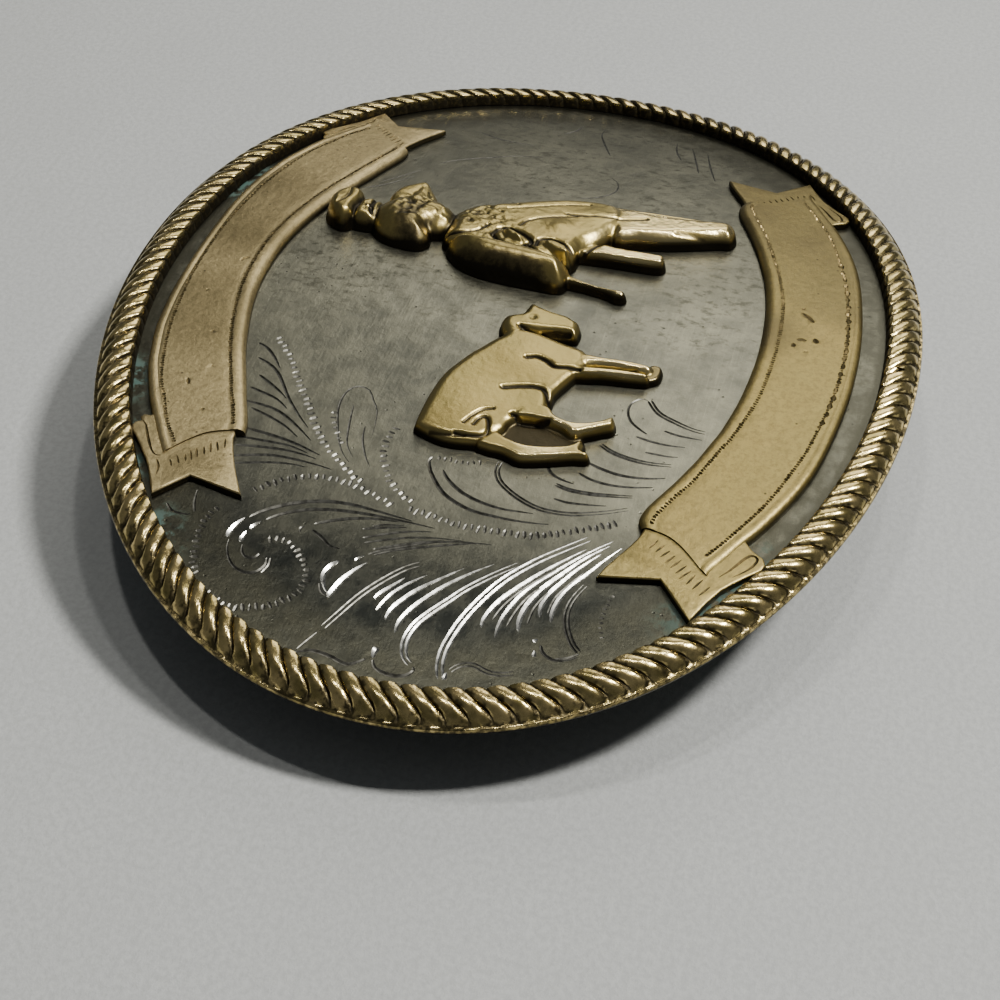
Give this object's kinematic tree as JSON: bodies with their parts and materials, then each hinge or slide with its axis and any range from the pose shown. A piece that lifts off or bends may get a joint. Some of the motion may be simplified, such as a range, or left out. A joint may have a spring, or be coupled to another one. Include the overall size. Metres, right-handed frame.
{
  "type": "western belt buckle",
  "caption": "Bent oval western belt buckle with a rope edge, blank ribbons, a calf and a horse with its rider, a hook post and a belt loop.",
  "frame": {"origin": "on the surface that the buckle lies on, under the middle of its oval", "axes": "+X along the buckle to the viewer's right as worn, +Y up as worn, +Z out of the face"},
  "size_m": [0.1, 0.0746, 0.0146],
  "materials": {
    "plate": "antiqued satin nickel silver with engraving",
    "rope": "polished gold-coloured brass with dark antiqued grooves",
    "ribbons": "satin gold-coloured brass",
    "figures": "polished gold-coloured brass, darkened in the creases",
    "hardware": "plain tumbled nickel"
  },
  "bodies": {
    "root": {"base_plate": "plate", "rope_edge": "rope", "top_ribbon": "ribbons", "bottom_ribbon": "ribbons", "horse_and_rider": "figures", "calf": "figures", "belt_loop": "hardware", "hook_post": "hardware"}
  },
  "joints": []
}
